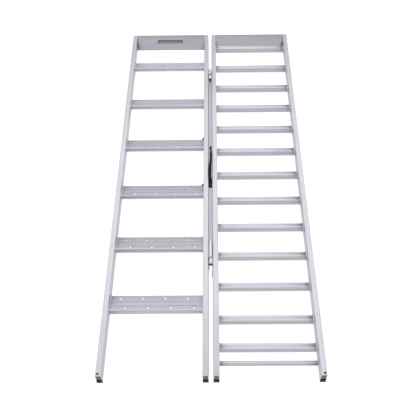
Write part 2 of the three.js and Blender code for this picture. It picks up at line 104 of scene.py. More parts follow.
def add_camera():
    data = bpy.data.cameras.new("camera")
    data.sensor_width = SENSOR_WIDTH
    data.clip_end = FAR_CLIP
    data.lens = CAMERA_LENS
    camera = bpy.data.objects.new("camera", data)
    bpy.context.scene.collection.objects.link(camera)
    place = Matrix.Translation((CAMERA_SIDE, LOW_END - CAMERA_AHEAD, RAIL_TOP + CAMERA_ABOVE))
    yaw = Matrix.Rotation(math.radians(CAMERA_YAW), 4, "Z")
    tilt = Matrix.Rotation(math.radians(90 - CAMERA_DOWN), 4, "X")
    roll = Matrix.Rotation(math.radians(CAMERA_ROLL), 4, "Z")
    camera.matrix_world = place @ yaw @ tilt @ roll
    bpy.context.scene.camera = camera


# ------------------------------------------------------------------ floor and light

WORLD_COLOR = (0.97, 0.965, 1.0, 1.0)
WORLD_STRENGTH = 1.15
SOFTBOX_WATTS = 165.0
SOFTBOX_SIZE = (8.0, 9.0)
SOFTBOX_PLACE = (0.0, 3.0, 3.6)  # it faces straight down
FLOOR_SIZE = 60.0
FLOOR_DROP = 0.2 * MM            # below the soles, so that the two don't share a plane
FLOOR_GLOW = 0.93                # the floor is a light table, so it holds hardly any shadow


def add_world():
    world = bpy.data.worlds.new("studio")
    bpy.context.scene.world = world
    world.use_nodes = True
    background = world.node_tree.nodes["Background"]
    background.inputs["Color"].default_value = WORLD_COLOR
    background.inputs["Strength"].default_value = WORLD_STRENGTH


def add_softbox():
    data = bpy.data.lights.new("softbox_over", "AREA")
    data.shape = "RECTANGLE"
    data.size, data.size_y = SOFTBOX_SIZE
    data.energy = SOFTBOX_WATTS
    lamp = bpy.data.objects.new("softbox_over", data)
    bpy.context.scene.collection.objects.link(lamp)
    lamp.location = SOFTBOX_PLACE


def add_floor():
    mesh = bpy.data.meshes.new("floor")
    corners = [(x, y, 0) for x, y in rectangle(FLOOR_SIZE, FLOOR_SIZE)]
    mesh.from_pydata(corners, [], [(0, 1, 2, 3)])
    floor = bpy.data.objects.new("floor", mesh)
    bpy.context.scene.collection.objects.link(floor)
    floor.location.z = -FLOOR_DROP
    mesh.materials.append(floor_surface())


def add_studio():
    add_world()
    add_floor()
    add_softbox()
    bpy.context.scene.view_settings.view_transform = "Standard"


# ------------------------------------------------------------------ materials

class Finish:
    """One node material around a Principled shader, with short calls for the nodes it needs."""

    def __init__(self, name):
        self.material = bpy.data.materials.new(name)
        self.material.use_nodes = True
        self.tree = self.material.node_tree
        self.shader = self.tree.nodes["Principled BSDF"]
        self.coordinates = self.tree.nodes.new("ShaderNodeTexCoord").outputs["Object"]

    def add(self, kind, **values):
        node = self.tree.nodes.new(kind)
        for key, value in values.items():
            setattr(node, key, value)
        return node

    def link(self, source, target):
        self.tree.links.new(source, target)

    def stretched(self, stretch, shift):
        mapping = self.add("ShaderNodeMapping")
        self.link(self.coordinates, mapping.inputs["Vector"])
        mapping.inputs["Scale"].default_value = stretch if isinstance(stretch, tuple) else [stretch] * 3
        mapping.inputs["Location"].default_value = (shift, 1.7 * shift, 2.3 * shift)
        return mapping.outputs["Vector"]

    def noise(self, stretch, detail=3.0, shift=0.0):
        """Noise from 0 to 1. `stretch` is its cells per metre, for all axes or for each."""
        texture = self.add("ShaderNodeTexNoise")
        self.link(self.stretched(stretch, shift), texture.inputs["Vector"])
        texture.inputs["Scale"].default_value = 1.0
        texture.inputs["Detail"].default_value = detail
        return texture.outputs["Fac"]

    def waves(self, direction, scale, distortion=0.0):
        texture = self.add("ShaderNodeTexWave", wave_type="BANDS", bands_direction=direction)
        self.link(self.coordinates, texture.inputs["Vector"])
        texture.inputs["Scale"].default_value = scale
        texture.inputs["Distortion"].default_value = distortion
        return texture.outputs["Fac"]

    def remap(self, value, low, high, to_low=0.0, to_high=1.0):
        node = self.add("ShaderNodeMapRange")
        self.link(value, node.inputs["Value"])
        for name, number in zip(("From Min", "From Max", "To Min", "To Max"), (low, high, to_low, to_high)):
            node.inputs[name].default_value = number
        return node.outputs["Result"]

    def math(self, operation, first, second):
        node = self.add("ShaderNodeMath", operation=operation)
        for socket, value in zip(node.inputs, (first, second)):
            if isinstance(value, (int, float)):
                socket.default_value = value
            else:
                self.link(value, socket)
        return node.outputs["Value"]

    def tint(self, amount, first, second):
        """Colour `first` where amount is 0 and `second` where it is 1."""
        node = self.add("ShaderNodeMix", data_type="RGBA")
        self.link(amount, node.inputs["Factor"])
        sockets = [socket for socket in node.inputs if socket.type == "RGBA"]
        for socket, value in zip(sockets, (first, second)):
            if isinstance(value, tuple):
                socket.default_value = (*value, 1.0)
            else:
                self.link(value, socket)
        return [socket for socket in node.outputs if socket.type == "RGBA"][0]

    def mottle(self, value, low, high, color, dark, light):
        """The colour, darker where the value is low and lighter where it is high."""
        return self.tint(self.remap(value, low, high), scaled(color, dark), scaled(color, light))

    def edges(self, radius):
        """1 on a worn edge and 0 on open faces."""
        bevel = self.add("ShaderNodeBevel", samples=4)
        bevel.inputs["Radius"].default_value = radius
        geometry = self.add("ShaderNodeNewGeometry")
        dot = self.add("ShaderNodeVectorMath", operation="DOT_PRODUCT")
        self.link(bevel.outputs["Normal"], dot.inputs[0])
        self.link(geometry.outputs["Normal"], dot.inputs[1])
        return self.remap(dot.outputs["Value"], 0.995, 0.86)

    def occlusion_shade(self, distance):
        """Painted shade mask from ambient occlusion: 1 deep in a corner and 0 in the open."""
        shade = self.add("ShaderNodeAmbientOcclusion", samples=4)
        shade.inputs["Distance"].default_value = distance
        return self.remap(shade.outputs["AO"], 0.85, 0.25)

    def bump(self, height, distance, strength=1.0, under=None):
        node = self.add("ShaderNodeBump")
        node.inputs["Distance"].default_value = distance
        node.inputs["Strength"].default_value = strength
        self.link(height, node.inputs["Height"])
        if under is not None:
            self.link(under, node.inputs["Normal"])
        return node.outputs["Normal"]

    def set(self, **values):
        for key, value in values.items():
            socket = self.shader.inputs[key.replace("_", " ")]
            if isinstance(value, (int, float)):
                socket.default_value = value
            elif isinstance(value, tuple):
                socket.default_value = (*value, 1.0)
            else:
                self.link(value, socket)


def scaled(color, factor):
    return tuple(min(1.0, channel * factor) for channel in color)


def axis_stretch(along, length_cells, cross_cells):
    return tuple(length_cells if axis == along else cross_cells for axis in "XYZ")


def drawn_metal(name, color, roughness, along, shade_strength=0.5, wear=0.6):
    """Aluminium with the fine lines of drawing or rolling along one axis."""
    finish = Finish(name)
    lines = finish.noise(axis_stretch(along, 5.0, 900.0), detail=4.0)
    broad = finish.noise(axis_stretch(along, 1.5, 60.0), detail=2.0, shift=3.1)
    clouds = finish.noise(7.0, detail=4.0, shift=7.7)
    grain = finish.noise(1500.0, detail=2.0, shift=1.3)
    scratch_field = finish.noise((160.0, 35.0, 90.0), detail=1.0, shift=5.9)
    scratches = finish.remap(scratch_field, 0.70, 0.74)
    streaked = finish.mottle(lines, 0.25, 0.75, color, 0.9, 1.07)
    clouded = finish.tint(finish.remap(clouds, 0.35, 0.75, 0.0, 0.35), streaked, scaled(color, 0.8))
    banded = finish.tint(finish.remap(broad, 0.4, 0.8, 0.0, 0.3), clouded, scaled(color, 1.12))
    scuffed = finish.tint(finish.math("MULTIPLY", scratches, 0.35), banded, scaled(color, 1.2))
    # Painted shade: the aluminium is darkened where ambient occlusion is deep, in corners and between
    # parts.
    shade_mask = finish.math("MULTIPLY", finish.occlusion_shade(12 * MM), shade_strength)
    shaded = finish.tint(shade_mask, scuffed, scaled(color, 0.28))
    edge = finish.math("MULTIPLY", finish.edges(0.9 * MM), wear)
    worn = finish.tint(edge, shaded, scaled(color, 1.3))
    rough_lines = finish.remap(lines, 0.2, 0.8, roughness - 0.07, roughness + 0.08)
    rough = finish.math("SUBTRACT", rough_lines, finish.math("MULTIPLY", edge, 0.12))
    fine = finish.bump(lines, 0.05 * MM, 0.5)
    normal = finish.bump(grain, 0.03 * MM, 0.35, under=fine)
    finish.set(Base_Color=worn, Metallic=0.92, Roughness=rough, Normal=normal)
    return finish.material


def plated_steel(name, color, roughness, metallic=1.0):
    """Small hardware: zinc plate or black oxide, with rubbed edges."""
    finish = Finish(name)
    clouds = finish.noise(220.0, detail=3.0)
    grain = finish.noise(2600.0, detail=2.0, shift=2.2)
    base = finish.mottle(clouds, 0.3, 0.7, color, 0.8, 1.15)
    edge = finish.math("MULTIPLY", finish.edges(0.5 * MM), 0.55)
    worn = finish.tint(edge, base, (0.55, 0.54, 0.56))
    rough = finish.remap(clouds, 0.2, 0.8, roughness - 0.06, roughness + 0.1)
    normal = finish.bump(grain, 0.02 * MM, 0.4)
    finish.set(Base_Color=worn, Metallic=metallic, Roughness=rough, Normal=normal)
    return finish.material


def moulded_rubber(name, color, shine, dusty=0.35):
    finish = Finish(name)
    clouds = finish.noise(60.0, detail=4.0)
    pores = finish.noise(1900.0, detail=3.0, shift=4.0)
    dust = finish.math("MULTIPLY", finish.remap(clouds, 0.45, 0.8), dusty)
    dusted = finish.tint(dust, color, (0.09, 0.088, 0.092))
    rubbed = finish.tint(finish.math("MULTIPLY", finish.edges(0.8 * MM), dusty), dusted, (0.1, 0.1, 0.105))
    rough = finish.remap(clouds, 0.2, 0.8, 0.62, 0.82)
    normal = finish.bump(pores, 0.06 * MM, 0.6)
    finish.set(Base_Color=rubbed, Roughness=rough, Specular_IOR_Level=shine, Normal=normal)
    return finish.material


def woven_webbing(name, color):
    """Nylon webbing: ribs across the strap and rows of yarn along it."""
    finish = Finish(name)
    ribs = finish.waves("Y", 170.0, 0.4)
    yarns = finish.waves("X", 260.0, 0.6)
    fuzz = finish.noise(900.0, detail=3.0)
    weave = finish.math("MULTIPLY", ribs, yarns)
    shade = finish.mottle(weave, 0.0, 1.0, color, 0.55, 1.8)
    lint = finish.tint(finish.remap(fuzz, 0.55, 0.85, 0.0, 0.1), shade, (0.06, 0.06, 0.065))
    normal = finish.bump(weave, 0.25 * MM, 0.9)
    finish.set(Base_Color=lint, Roughness=0.85, Specular_IOR_Level=0.1, Sheen_Weight=0.02, Normal=normal)
    return finish.material


def weld_metal(name, color):
    finish = Finish(name)
    clouds = finish.noise(300.0, detail=3.0)
    soot = finish.noise(90.0, detail=2.0, shift=6.0)
    base = finish.mottle(clouds, 0.3, 0.7, color, 0.85, 1.2)
    sooty = finish.tint(finish.remap(soot, 0.55, 0.8, 0.0, 0.4), base, scaled(color, 0.4))
    rough = finish.remap(clouds, 0.2, 0.8, 0.34, 0.6)
    normal = finish.bump(clouds, 0.12 * MM, 0.6)
    finish.set(Base_Color=sooty, Metallic=0.9, Roughness=rough, Normal=normal)
    return finish.material


def printed_film(name, color):
    finish = Finish(name)
    specks = finish.noise(1400.0, detail=2.0)
    clouds = finish.noise(45.0, detail=3.0, shift=2.0)
    base = finish.mottle(clouds, 0.35, 0.75, color, 0.85, 1.2)
    rough = finish.remap(clouds, 0.2, 0.8, 0.32, 0.5)
    normal = finish.bump(specks, 0.02 * MM, 0.4)
    finish.set(Base_Color=base, Roughness=rough, Normal=normal)
    return finish.material


def floor_surface():
    finish = Finish("floor_paper")
    clouds = finish.noise(0.6, detail=2.0)
    base = finish.tint(clouds, (0.16, 0.16, 0.16), (0.19, 0.19, 0.19))
    finish.set(Base_Color=base, Roughness=0.9, Emission_Color=(1.0, 1.0, 1.0), Emission_Strength=FLOOR_GLOW)
    return finish.material


RAIL_COLOR = (0.445, 0.435, 0.466)
RUNG_COLOR = (0.437, 0.427, 0.464)
TREAD_COLOR = (0.448, 0.438, 0.48)
# Darker than the rails' aluminium: painted shade of the top plates, which lie recessed between the rails.
PLATE_SHADED_COLOR = (0.272, 0.264, 0.292)
STRIP_COLOR = (0.355, 0.328, 0.37)
HINGE_COLOR = (0.50, 0.485, 0.53)

SURFACES = {
    "rail": drawn_metal("rail_aluminium", RAIL_COLOR, 0.42, "Y"),
    "rung": drawn_metal("rung_aluminium", RUNG_COLOR, 0.42, "X"),
    "tread": drawn_metal("tread_aluminium", TREAD_COLOR, 0.4, "X"),
    # Painted shade: a darker copy of the tread aluminium for the faces in the tread's grooves.
    "groove": drawn_metal("groove_shade_aluminium", scaled(TREAD_COLOR, 0.62), 0.5, "X", wear=0.2),
    "plate": drawn_metal("plate_aluminium", PLATE_SHADED_COLOR, 0.46, "X", shade_strength=0.35),
    "strip": drawn_metal("strip_aluminium", STRIP_COLOR, 0.44, "Y", shade_strength=0.0),
    "hinge": drawn_metal("hinge_aluminium", HINGE_COLOR, 0.36, "Y", shade_strength=0.3),
    "weld": weld_metal("weld_bead", (0.66, 0.65, 0.7)),
    "zinc": plated_steel("zinc_plate", (0.6, 0.6, 0.61), 0.32),
    "black_steel": plated_steel("black_oxide", (0.025, 0.024, 0.027), 0.42, metallic=0.5),
    "rubber": moulded_rubber("black_rubber", (0.016, 0.015, 0.017), 0.25),
    "plug": moulded_rubber("plug_rubber", (0.17, 0.155, 0.165), 0.3),
    "grip": moulded_rubber("grip_rubber", (0.006, 0.0055, 0.0065), 0.1, dusty=0.08),
    "webbing": woven_webbing("black_webbing", (0.009, 0.0085, 0.01)),
    "film": printed_film("label_film", (0.035, 0.035, 0.04)),
    "film_light": printed_film("label_band", (0.42, 0.41, 0.43)),
}


# ------------------------------------------------------------------ mesh making

class Solid:
    """The vertices and faces of one piece, gathered from one or more closed shapes."""

    def __init__(self):
        self.vertices = []
        self.faces = []

    def loft(self, rings, closed=True):
        """Joins rings of points that all have the same number of points."""
        start = len(self.vertices)
        count = len(rings[0])
        for ring in rings:
            self.vertices.extend(Vector(point) for point in ring)
        for row in range(len(rings) - 1):
            first = start + row * count
            for index in range(count):
                after = (index + 1) % count
                above = first + count
                self.faces.append((first + index, first + after, above + after, above + index))
        if closed:
            last = start + (len(rings) - 1) * count
            self.faces.append(tuple(reversed(range(start, start + count))))
            self.faces.append(tuple(range(last, last + count)))
        return self

    def turn(self, matrix):
        self.vertices = [matrix @ point for point in self.vertices]
        return self

    def join(self, other):
        start = len(self.vertices)
        self.vertices.extend(other.vertices)
        self.faces.extend(tuple(start + index for index in face) for face in other.faces)
        return self


def shade(mesh, crease):
    mesh.polygons.foreach_set("use_smooth", [True] * len(mesh.polygons))
    mesh.set_sharp_from_angle(angle=math.radians(crease))


def add_piece(name, solid, surface, node, replacing=True, crease=32):
    """A piece on a node's body, with its slot. It stands for that node unless `replacing` is off."""
    mesh = bpy.data.meshes.new(name)
    mesh.from_pydata([tuple(point) for point in solid.vertices], [], solid.faces)
    work = bmesh.new()
    work.from_mesh(mesh)
    bmesh.ops.recalc_face_normals(work, faces=work.faces)
    work.to_mesh(mesh)
    work.free()
    mesh.update()
    shade(mesh, crease)
    mesh.materials.append(SURFACES[surface])
    piece = bpy.data.objects.new(name, mesh)
    bpy.context.scene.collection.objects.link(piece)
    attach(piece, frame["nodes"][node]["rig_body"])
    if replacing:
        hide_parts(node)
    return piece


ROUND = 36                       # sides of anything turned


def circle(radius, height):
    """Points round Z, counter-clockwise from above."""
    turn = 2 * math.pi / ROUND
    return [(radius * math.cos(i * turn), radius * math.sin(i * turn), height) for i in range(ROUND)]


def turned(profile):
    return [circle(radius, height) for radius, height in profile]


def hexagon(apothem, height, limit=math.inf):
    """A hexagon round Z. `limit` rounds its corners off at that radius."""
    sector = math.pi / 3
    points = []
    for i in range(ROUND):
        angle = 2 * math.pi * i / ROUND
        radius = min(limit, apothem / math.cos((angle + sector / 2) % sector - sector / 2))
        points.append((radius * math.cos(angle), radius * math.sin(angle), height))
    return points


def rounded_outline(points, radius, steps=4):
    """A closed outline in two axes whose corners are rounded by arcs of the given radius."""
    outline = []
    count = len(points)
    for index, point in enumerate(points):
        corner = Vector(point)
        back = Vector(points[index - 1]) - corner
        ahead = Vector(points[(index + 1) % count]) - corner
        reach = min(radius, back.length / 2.05, ahead.length / 2.05)
        start = corner + back.normalized() * reach
        end = corner + ahead.normalized() * reach
        for step in range(steps + 1):
            t = step / steps
            outline.append(tuple((1 - t) ** 2 * start + 2 * t * (1 - t) * corner + t ** 2 * end))
    return outline


def rectangle(width, height):
    """Its corners about (0, 0), counter-clockwise from the low left one."""
    x, y = width / 2, height / 2
    return [(-x, -y), (x, -y), (x, y), (-x, y)]


def rounding(share):
    """Height of a quarter circle, from 0 to 1, at a share of the way in from its foot."""
    return math.sqrt(max(0.0, 1 - (1 - min(1.0, share)) ** 2))


def swell(t):
    """Smooth step from 0 to 1."""
    t = max(0.0, min(1.0, t))
    return t * t * (3 - 2 * t)


# ------------------------------------------------------------------ CAD nodes that stay

def soften(node, surface, width):
    """Gives a CAD node its material and finely rounded edges."""
    piece = frame["nodes"][node]
    piece.data.materials.clear()
    piece.data.materials.append(SURFACES[surface])
    shade(piece.data, 30)
    weld = piece.modifiers.new("weld", "WELD")
    weld.merge_threshold = 0.002 * MM
    bevel = piece.modifiers.new("edges", "BEVEL")
    bevel.limit_method = "ANGLE"
    bevel.angle_limit = math.radians(40)
    bevel.width = width
    bevel.segments = 2
    bevel.harden_normals = True


def finish_cad_nodes():
    for nodes, surface, width in (
        (RAILS, "rail", 0.3 * MM),
        (RUNGS, "rung", 0.35 * MM),
        (["right_low_bar"], "rung", 0.3 * MM),
        (PLATES, "plate", 0.5 * MM),
        (["centre_strip"], "strip", 0.4 * MM),
        (LEAVES, "hinge", 0.5 * MM),
    ):
        for node in nodes:
            soften(node, surface, width)


# ------------------------------------------------------------------ treads

TREAD_TILT = math.radians(24)
TREAD_DEPTH = 110 * MM
TREAD_FRONT_LIP = 21.5 * MM
TREAD_BACK_LIP = 14 * MM
TREAD_SHEET = 3 * MM
TREAD_BEND = 4 * MM
TREAD_GROOVES = (33 * MM, 67 * MM)
GROOVE_HALF = 3.4 * MM
GROOVE_DEPTH = 2.2 * MM
HOLE_RADIUS = 7 * MM
RIM_RADIUS = 10.2 * MM
RIM_HEIGHT = 2.2 * MM
HOLE_PATCH = 11 * MM             # half the square of mesh round a hole
HOLE_PITCH = 103 * MM
HOLES_PER_ROW = 4
HOLE_ROWS = ((16 * MM, 16 * MM), (84 * MM, -12 * MM))     # distance up the tread, sideways shift
PATCH_CELLS = 6
LINE_SPACING = 22 * MM


def hole_centres(shift):
    first = -(HOLES_PER_ROW - 1) / 2
    return [(first + index) * HOLE_PITCH + shift for index in range(HOLES_PER_ROW)]


def patch_lines(centre):
    cell = 2 * HOLE_PATCH / PATCH_CELLS
    return [centre - HOLE_PATCH + cell * index for index in range(PATCH_CELLS + 1)]


def cross_lines(half_width):
    """Places of the mesh lines across a tread: close together at the holes."""
    patches = sorted(patch_lines(x) for _, shift in HOLE_ROWS for x in hole_centres(shift))
    lines = [-half_width]
    for patch in patches + [[half_width]]:
        gap = patch[0] - lines[-1]
        parts = max(1, math.ceil(gap / LINE_SPACING))
        lines.extend(lines[-1] + gap * step / parts for step in range(1, parts))
        lines.extend(patch)
    return lines


def groove_fall(along):
    return sum(GROOVE_DEPTH * (1 - swell(abs(along - g) / GROOVE_HALF)) for g in TREAD_GROOVES)


def bend_row(middle, angle):
    """A row on a bend: its place, then the direction that its outside faces."""
    facing = (math.cos(angle), math.sin(angle))
    return (middle + TREAD_BEND * facing[0], TREAD_BEND * (facing[1] - 1), *facing)


def tread_profile():
    """Rows from the front lip's bottom edge over the top to the back lip's.

    Each is (along, up, facing along, facing up).
    """
    front_fall = TREAD_FRONT_LIP - TREAD_BEND
    back_fall = TREAD_BACK_LIP - TREAD_BEND
    rows = [(0.0, -TREAD_BEND - front_fall * (1 - t / 4), -1.0, 0.0) for t in range(4)]
    rows += [bend_row(TREAD_BEND, math.pi - step * math.pi / 10) for step in range(6)]
    flat = {TREAD_DEPTH / 2}
    for depth, _ in HOLE_ROWS:
        flat.update(patch_lines(depth))
    for groove in TREAD_GROOVES:
        flat.update(groove + GROOVE_HALF * part for part in (-1, -0.66, -0.33, 0, 0.33, 0.66, 1))
    edge = TREAD_BEND + 0.01 * MM
    inside = (place for place in sorted(flat) if edge < place < TREAD_DEPTH - edge)
    rows += [(place, -groove_fall(place), 0.0, 1.0) for place in inside]
    rows += [bend_row(TREAD_DEPTH - TREAD_BEND, math.pi / 2 - step * math.pi / 10) for step in range(6)]
    rows += [(TREAD_DEPTH, -TREAD_BEND - back_fall * t / 2, 1.0, 0.0) for t in (1, 2)]
    return rows


def nearest(values, target):
    return min(range(len(values)), key=lambda index: abs(values[index] - target))


def tread_holes(lines, rows):
    """For each hole: its centre, and the first mesh column and row of its patch."""
    # A row on a bend or a lip counts as far away, so that a patch starts on the flat top.
    places = [along if face_up > 0.99 else math.inf for along, _, _, face_up in rows]
    holes = []
    for depth, shift in HOLE_ROWS:
        low = nearest(places, depth - HOLE_PATCH)
        holes += [(x, depth, nearest(lines, x - HOLE_PATCH), low) for x in hole_centres(shift)]
    return holes


def patch_border(left, low):
    """Grid places round a patch, counter-clockwise from its low left corner."""
    n = PATCH_CELLS
    border = [(left + step, low) for step in range(n)]
    border += [(left + n, low + step) for step in range(n)]
    border += [(left + n - step, low + n) for step in range(n)]
    border += [(left, low + n - step) for step in range(n)]
    return border


def rim_rise(radius):
    lip = HOLE_RADIUS + 0.8 * MM
    return RIM_HEIGHT * (1 - swell((radius - lip) / (RIM_RADIUS - lip)))


RIM_RINGS = [(radius * MM, rim_rise(radius * MM)) for radius in (10.2, 9.5, 8.9, 8.3, 7.8, 7.4)]
RIM_RINGS.append((7.12 * MM, RIM_HEIGHT - 0.12 * MM))
RIM_RINGS.append((HOLE_RADIUS, RIM_HEIGHT - 0.4 * MM))


def add_rim(solid, facing, x, depth, border):
    """Rings of faces from a patch's square border in to the hole's edge."""
    centre = Vector((x, depth, 0))
    outer = border
    for radius, rise in RIM_RINGS:
        ring = []
        for index in border:
            away = (solid.vertices[index] - centre).to_2d().normalized() * radius
            ring.append(len(solid.vertices))
            solid.vertices.append(Vector((x + away.x, depth + away.y, rise)))
            facing.append(Vector((0, 0, 1)))
        for step in range(len(border)):
            after = (step + 1) % len(border)
            solid.faces.append((outer[step], outer[after], ring[after], ring[step]))
        outer = ring


def thicken(solid, facing, thickness):
    """Gives an open sheet its underside, and walls along its free edges."""
    count = len(solid.vertices)
    top_faces = list(solid.faces)
    directed = {edge for face in top_faces for edge in zip(face, face[1:] + face[:1])}
    solid.vertices.extend(point - out * thickness for point, out in zip(list(solid.vertices), facing))
    solid.faces.extend(tuple(index + count for index in reversed(face)) for face in top_faces)
    for first, second in sorted(directed):
        if (second, first) not in directed:
            solid.faces.append((second, first, first + count, second + count))


def tread_solid(half_width):
    """A tread folded from one sheet, with its grooves, holes and the holes' raised rims."""
    lines = cross_lines(half_width)
    rows = tread_profile()
    holes = tread_holes(lines, rows)
    solid = Solid()
    facing = []
    span = range(PATCH_CELLS)
    taken = {(left + i, low + j) for _, _, left, low in holes for i in span for j in span}
    hidden = {(left + i, low + j) for _, _, left, low in holes for i in span[1:] for j in span[1:]}
    index_of = {}
    for j, (along, up, face_along, face_up) in enumerate(rows):
        for i, x in enumerate(lines):
            if (i, j) not in hidden:
                index_of[i, j] = len(solid.vertices)
                solid.vertices.append(Vector((x, along, up)))
                facing.append(Vector((0, face_along, face_up)))
    for j in range(len(rows) - 1):
        for i in range(len(lines) - 1):
            if (i, j) not in taken:
                corners = ((i, j), (i + 1, j), (i + 1, j + 1), (i, j + 1))
                solid.faces.append(tuple(index_of[corner] for corner in corners))
    for x, depth, left, low in holes:
        add_rim(solid, facing, x, depth, [index_of[place] for place in patch_border(left, low)])
    thicken(solid, facing, TREAD_SHEET)
    return solid


def in_groove(solid, face):
    """Whether a face of an untilted tread lies in a groove of its top, where the painted shade goes."""
    centre = sum((solid.vertices[index] for index in face), Vector()) / len(face)
    near = min(abs(centre.y - groove) for groove in TREAD_GROOVES)
    return near < 0.7 * GROOVE_HALF and centre.z > -GROOVE_DEPTH - 0.1 * MM


def add_treads():
    for node in TREADS:
        low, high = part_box(node)
        solid = tread_solid((high.x - low.x) / 2)
        groove_shade_faces = [in_groove(solid, face) for face in solid.faces]
        front = low.y + TREAD_FRONT_LIP * math.sin(TREAD_TILT)
        drop = TREAD_DEPTH * math.sin(TREAD_TILT) + TREAD_BACK_LIP * math.cos(TREAD_TILT)
        place = Matrix.Translation(((low.x + high.x) / 2, front, low.z + drop))
        solid.turn(place @ Matrix.Rotation(-TREAD_TILT, 4, "X"))
        piece = add_piece(f"{node}_sheet", solid, "tread", node, crease=50)
        # The faces in the grooves take the darker aluminium: painted shade.
        piece.data.materials.append(SURFACES["groove"])
        piece.data.polygons.foreach_set("material_index", [int(inside) for inside in groove_shade_faces])
        even = piece.modifiers.new("even_shading", "WEIGHTED_NORMAL")
        even.keep_sharp = True


# ------------------------------------------------------------------ weld beads

BEAD_RADIUS = 2.4 * MM
BEAD_PITCH = 3.4 * MM
BEAD_STEP = 1.1 * MM
BEAD_SIDES = 10


def resample(points, step):
    """The same path with points at an even spacing."""
    points = [Vector(point) for point in points]
    lengths = [(b - a).length for a, b in zip(points, points[1:])]
    total = sum(lengths)
    count = max(2, round(total / step))
    placed = []
    for index in range(count + 1):
        distance = total * index / count
        leg = 0
        while leg < len(lengths) - 1 and distance > lengths[leg]:
            distance -= lengths[leg]
            leg += 1
        placed.append(points[leg].lerp(points[leg + 1], min(1.0, distance / lengths[leg])))
    return placed


def bead(points, across):
    """A rippled weld bead along a path that lies in the plane square to `across`."""
    path = resample(points, BEAD_STEP)
    rings = []
    last = len(path) - 1
    for index, point in enumerate(path):
        before = path[max(0, index - 1)]
        after = path[min(last, index + 1)]
        forward = (after - before).normalized()
        side = across.cross(forward).normalized()
        travelled = index * BEAD_STEP
        ripple = 0.86 + 0.2 * abs(math.sin(math.pi * travelled / BEAD_PITCH))
        wander = 1 + 0.16 * noise.noise(point * 140.0)
        taper = 0.55 + 0.45 * swell(min(index, last - index) / 3)
        radius = BEAD_RADIUS * ripple * wander * taper
        ring = []
        for corner in range(BEAD_SIDES):
            angle = 2 * math.pi * corner / BEAD_SIDES
            ring.append(point + (across * math.cos(angle) + side * math.sin(angle)) * radius)
        rings.append(ring)
    return Solid().loft(rings)


def end_beads(node, outline):
    """Beads at both ends of a bar. `outline` is their path's points in Y and Z."""
    low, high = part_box(node)
    solid = Solid()
    for x in (low.x, high.x):
        solid.join(bead([(x, y, z) for y, z in outline], Vector((1, 0, 0))))
    return solid


def rung_outline(node):
    """Up a rung's front, over its top and down its back."""
    low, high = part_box(node)
    front, back = low.y - 0.12 * MM, high.y + 0.12 * MM
    bottom = low.z + 4 * MM
    return [
        (front, bottom),
        (front, high.z - 1.5 * MM),
        (low.y + 2 * MM, high.z - 0.2 * MM),
        (high.y - 2 * MM, high.z - 1.6 * MM),
        (back, high.z - 3.5 * MM),
        (back, bottom),
    ]


def bar_outline(node):
    """Once round the low bar."""
    low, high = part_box(node)
    centre = (low + high) / 2
    radius = (high.z - low.z) / 2
    turns = [math.radians(angle) for angle in range(-90, 275, 15)]
    return [(centre.y + radius * math.cos(turn), centre.z + radius * math.sin(turn)) for turn in turns]


def tread_outline(node):
    """Up a tread's front lip, over its top and down its back lip."""
    low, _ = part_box(node)
    sine, cosine = math.sin(TREAD_TILT), math.cos(TREAD_TILT)
    front = low.y + TREAD_FRONT_LIP * sine
    top = low.z + TREAD_DEPTH * sine + TREAD_BACK_LIP * cosine
    local = [
        (0.0, -TREAD_FRONT_LIP + 2 * MM),
        (0.0, -TREAD_BEND),
        (TREAD_BEND * 0.3, -TREAD_BEND * 0.3),
        (TREAD_BEND, 0.0),
        (TREAD_DEPTH - TREAD_BEND, 0.0),
        (TREAD_DEPTH - TREAD_BEND * 0.3, -TREAD_BEND * 0.3),
        (TREAD_DEPTH, -TREAD_BEND),
        (TREAD_DEPTH, -TREAD_BACK_LIP + 2 * MM),
    ]
    return [(front + u * cosine + v * sine, top - u * sine + v * cosine) for u, v in local]


def add_welds():
    jobs = [(node, tread_outline(node)) for node in TREADS]
    jobs += [(node, rung_outline(node)) for node in RUNGS]
    jobs.append(("right_low_bar", bar_outline("right_low_bar")))
    for node, outline in jobs:
        solid = end_beads(node, outline)
        add_piece(f"{node}_weld", solid, "weld", node, replacing=False, crease=60)


# ------------------------------------------------------------------ fasteners and pins

def thread_rings(radius, start, end, pitch):
    """Rings of a threaded rod from `start` down to `end` along Z."""
    count = max(1, round((start - end) / pitch))
    step = (start - end) / count
    profile = []
    for index in range(count):
        height = start - index * step
        profile += [(radius * 0.9, height), (radius, height - step * 0.5)]
    return turned(profile + [(radius * 0.9, end + 0.3 * MM), (radius * 0.75, end)])


def button_head(radius, height, socket):
    """Rings from the floor of the hexagon socket over the dome to the underside, for Z up."""
    rings = [
        hexagon(socket * 0.9, height * 0.35),
        hexagon(socket, height * 0.4),
        hexagon(socket, height * 0.94),
        hexagon(socket * 1.12, height),
    ]
    for step in range(1, 7):
        t = step / 6
        turn = t * math.pi / 2
        reach = socket * 1.25 + (radius - socket * 1.25) * math.sin(turn)
        rings.append(circle(reach, height * (0.22 + 0.78 * math.cos(turn))))
    return rings + turned([(radius, height * 0.08), (radius * 0.97, 0.0)])


def lock_nut(apothem, length, bore, top):
    """A hexagon nut with a raised collar, from `top` down."""
    corner = apothem * 1.12
    rings = [
        circle(bore, top),
        circle(apothem * 0.96, top),
        hexagon(apothem, top - 0.5 * MM, corner),
        hexagon(apothem, top - length * 0.62, corner),
        hexagon(apothem * 0.97, top - length * 0.7, apothem),
        circle(apothem * 0.84, top - length * 0.76),
        circle(apothem * 0.84, top - length * 0.94),
        circle(apothem * 0.74, top - length),
        circle(bore, top - length),
    ]
    return Solid().loft(rings + [rings[0]], closed=False)


def lowered(rings, drop):
    return [[(x, y, z - drop) for x, y, z in ring] for ring in rings]


